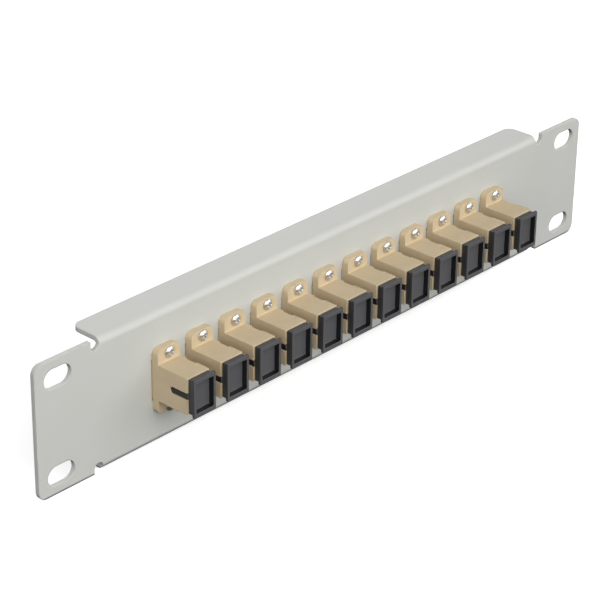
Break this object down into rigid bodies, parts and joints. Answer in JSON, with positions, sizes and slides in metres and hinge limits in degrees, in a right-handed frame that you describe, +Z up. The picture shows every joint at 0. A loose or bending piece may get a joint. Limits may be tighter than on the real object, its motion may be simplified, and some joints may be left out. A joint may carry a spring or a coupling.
{
  "type": "fibre patch panel",
  "caption": "Ten-inch one-unit fibre patch panel: folded steel front with slotted ears and a row of flanged simplex adapters with pull-off dust caps.",
  "frame": {"origin": "centre of the four rack slots, on the rear face of the ears", "axes": "+X along the panel, +Z up, the front faces -Y and the rack is towards +Y"},
  "size_m": [0.254, 0.0349, 0.044],
  "materials": {
    "powder_coated_steel": "light grey fine-textured powder coat on folded steel sheet",
    "beige_housing": "beige glass-filled moulding, fine matt mould texture",
    "black_cap": "soft black moulding, satin",
    "latch_polymer": "beige inner moulding, satin",
    "sleeve_bronze": "bare drawn phosphor bronze",
    "plated_screw": "bright nickel plate",
    "plated_nut": "zinc plate"
  },
  "bodies": {
    "panel": {"front_panel": "powder_coated_steel", "housing_front_01": "beige_housing", "housing_rear_01": "beige_housing", "housing_front_02": "beige_housing", "housing_rear_02": "beige_housing", "housing_front_03": "beige_housing", "housing_rear_03": "beige_housing", "housing_front_04": "beige_housing", "housing_rear_04": "beige_housing", "housing_front_05": "beige_housing", "housing_rear_05": "beige_housing", "housing_front_06": "beige_housing", "housing_rear_06": "beige_housing", "housing_front_07": "beige_housing", "housing_rear_07": "beige_housing", "housing_front_08": "beige_housing", "housing_rear_08": "beige_housing", "housing_front_09": "beige_housing", "housing_rear_09": "beige_housing", "housing_front_10": "beige_housing", "housing_rear_10": "beige_housing", "housing_front_11": "beige_housing", "housing_rear_11": "beige_housing", "housing_front_12": "beige_housing", "housing_rear_12": "beige_housing", "latch_bodies_front": "latch_polymer", "latch_bodies_rear": "latch_polymer", "alignment_sleeves": "sleeve_bronze", "flange_screws": "plated_screw", "hex_nuts": "plated_nut"},
    "front_cap_01": {"front_cap_01": "black_cap"},
    "front_cap_02": {"front_cap_02": "black_cap"},
    "front_cap_03": {"front_cap_03": "black_cap"},
    "front_cap_04": {"front_cap_04": "black_cap"},
    "front_cap_05": {"front_cap_05": "black_cap"},
    "front_cap_06": {"front_cap_06": "black_cap"},
    "front_cap_07": {"front_cap_07": "black_cap"},
    "front_cap_08": {"front_cap_08": "black_cap"},
    "front_cap_09": {"front_cap_09": "black_cap"},
    "front_cap_10": {"front_cap_10": "black_cap"},
    "front_cap_11": {"front_cap_11": "black_cap"},
    "front_cap_12": {"front_cap_12": "black_cap"},
    "rear_cap_01": {"rear_cap_01": "black_cap"},
    "rear_cap_02": {"rear_cap_02": "black_cap"},
    "rear_cap_03": {"rear_cap_03": "black_cap"},
    "rear_cap_04": {"rear_cap_04": "black_cap"},
    "rear_cap_05": {"rear_cap_05": "black_cap"},
    "rear_cap_06": {"rear_cap_06": "black_cap"},
    "rear_cap_07": {"rear_cap_07": "black_cap"},
    "rear_cap_08": {"rear_cap_08": "black_cap"},
    "rear_cap_09": {"rear_cap_09": "black_cap"},
    "rear_cap_10": {"rear_cap_10": "black_cap"},
    "rear_cap_11": {"rear_cap_11": "black_cap"},
    "rear_cap_12": {"rear_cap_12": "black_cap"}
  },
  "joints": [
    {"name": "front_cap_pull_01", "type": "slide", "parent": "panel", "child": "front_cap_01", "axis": [0, -1, 0], "range_m": [0, 0.015]},
    {"name": "front_cap_pull_02", "type": "slide", "parent": "panel", "child": "front_cap_02", "axis": [0, -1, 0], "range_m": [0, 0.015]},
    {"name": "front_cap_pull_03", "type": "slide", "parent": "panel", "child": "front_cap_03", "axis": [0, -1, 0], "range_m": [0, 0.015]},
    {"name": "front_cap_pull_04", "type": "slide", "parent": "panel", "child": "front_cap_04", "axis": [0, -1, 0], "range_m": [0, 0.015]},
    {"name": "front_cap_pull_05", "type": "slide", "parent": "panel", "child": "front_cap_05", "axis": [0, -1, 0], "range_m": [0, 0.015]},
    {"name": "front_cap_pull_06", "type": "slide", "parent": "panel", "child": "front_cap_06", "axis": [0, -1, 0], "range_m": [0, 0.015]},
    {"name": "front_cap_pull_07", "type": "slide", "parent": "panel", "child": "front_cap_07", "axis": [0, -1, 0], "range_m": [0, 0.015]},
    {"name": "front_cap_pull_08", "type": "slide", "parent": "panel", "child": "front_cap_08", "axis": [0, -1, 0], "range_m": [0, 0.015]},
    {"name": "front_cap_pull_09", "type": "slide", "parent": "panel", "child": "front_cap_09", "axis": [0, -1, 0], "range_m": [0, 0.015]},
    {"name": "front_cap_pull_10", "type": "slide", "parent": "panel", "child": "front_cap_10", "axis": [0, -1, 0], "range_m": [0, 0.015]},
    {"name": "front_cap_pull_11", "type": "slide", "parent": "panel", "child": "front_cap_11", "axis": [0, -1, 0], "range_m": [0, 0.015]},
    {"name": "front_cap_pull_12", "type": "slide", "parent": "panel", "child": "front_cap_12", "axis": [0, -1, 0], "range_m": [0, 0.015]},
    {"name": "rear_cap_pull_01", "type": "slide", "parent": "panel", "child": "rear_cap_01", "axis": [0, 1, 0], "range_m": [0, 0.015]},
    {"name": "rear_cap_pull_02", "type": "slide", "parent": "panel", "child": "rear_cap_02", "axis": [0, 1, 0], "range_m": [0, 0.015]},
    {"name": "rear_cap_pull_03", "type": "slide", "parent": "panel", "child": "rear_cap_03", "axis": [0, 1, 0], "range_m": [0, 0.015]},
    {"name": "rear_cap_pull_04", "type": "slide", "parent": "panel", "child": "rear_cap_04", "axis": [0, 1, 0], "range_m": [0, 0.015]},
    {"name": "rear_cap_pull_05", "type": "slide", "parent": "panel", "child": "rear_cap_05", "axis": [0, 1, 0], "range_m": [0, 0.015]},
    {"name": "rear_cap_pull_06", "type": "slide", "parent": "panel", "child": "rear_cap_06", "axis": [0, 1, 0], "range_m": [0, 0.015]},
    {"name": "rear_cap_pull_07", "type": "slide", "parent": "panel", "child": "rear_cap_07", "axis": [0, 1, 0], "range_m": [0, 0.015]},
    {"name": "rear_cap_pull_08", "type": "slide", "parent": "panel", "child": "rear_cap_08", "axis": [0, 1, 0], "range_m": [0, 0.015]},
    {"name": "rear_cap_pull_09", "type": "slide", "parent": "panel", "child": "rear_cap_09", "axis": [0, 1, 0], "range_m": [0, 0.015]},
    {"name": "rear_cap_pull_10", "type": "slide", "parent": "panel", "child": "rear_cap_10", "axis": [0, 1, 0], "range_m": [0, 0.015]},
    {"name": "rear_cap_pull_11", "type": "slide", "parent": "panel", "child": "rear_cap_11", "axis": [0, 1, 0], "range_m": [0, 0.015]},
    {"name": "rear_cap_pull_12", "type": "slide", "parent": "panel", "child": "rear_cap_12", "axis": [0, 1, 0], "range_m": [0, 0.015]}
  ]
}
